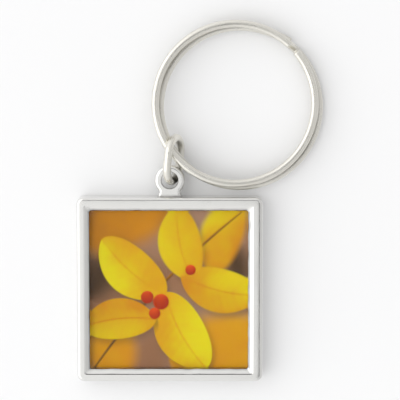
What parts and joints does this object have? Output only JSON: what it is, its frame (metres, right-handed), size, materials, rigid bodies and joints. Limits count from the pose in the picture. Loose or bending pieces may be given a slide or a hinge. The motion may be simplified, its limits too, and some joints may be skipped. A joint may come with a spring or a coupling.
{
  "type": "key ring",
  "caption": "Square metal key ring: a cast bezel case with a picture plate under a clear cover, an oval link and a split ring for keys.",
  "frame": {"origin": "middle of the flat back of the square case, on the surface that the key ring lies on", "axes": "+Z out of the picture, +Y from the case towards its eyelet and the rings, +X to the right of the picture"},
  "size_m": [0.0463, 0.0682, 0.0073],
  "materials": {
    "silver_plate": "polished silver plate on a cast case, faintly uneven, fine scratches",
    "print": "printed picture of golden leaves, out of focus behind",
    "clear_cover": "clear, glossy, bevelled edge",
    "nickel_wire": "nickel-plated steel wire, slightly warm, drawn along its length"
  },
  "bodies": {
    "case_body": {"case": "silver_plate", "picture_plate": "print", "clear_cover": "clear_cover"},
    "link_body": {"link": "nickel_wire"},
    "ring_body": {"split_ring": "nickel_wire"}
  },
  "joints": [
    {"name": "link_swing", "type": "hinge", "parent": "case_body", "child": "link_body", "pos_m": [0.00067, 0.02355, 0.00368], "axis": [0.9889, 0, 0.1483], "range_deg": [0, 90]},
    {"name": "ring_swing", "type": "hinge", "parent": "link_body", "child": "ring_body", "pos_m": [0.0011, 0.0266, 0.0034], "axis": [-0.3646, 0.0377, 0.9304], "range_deg": [-2, 75]}
  ]
}
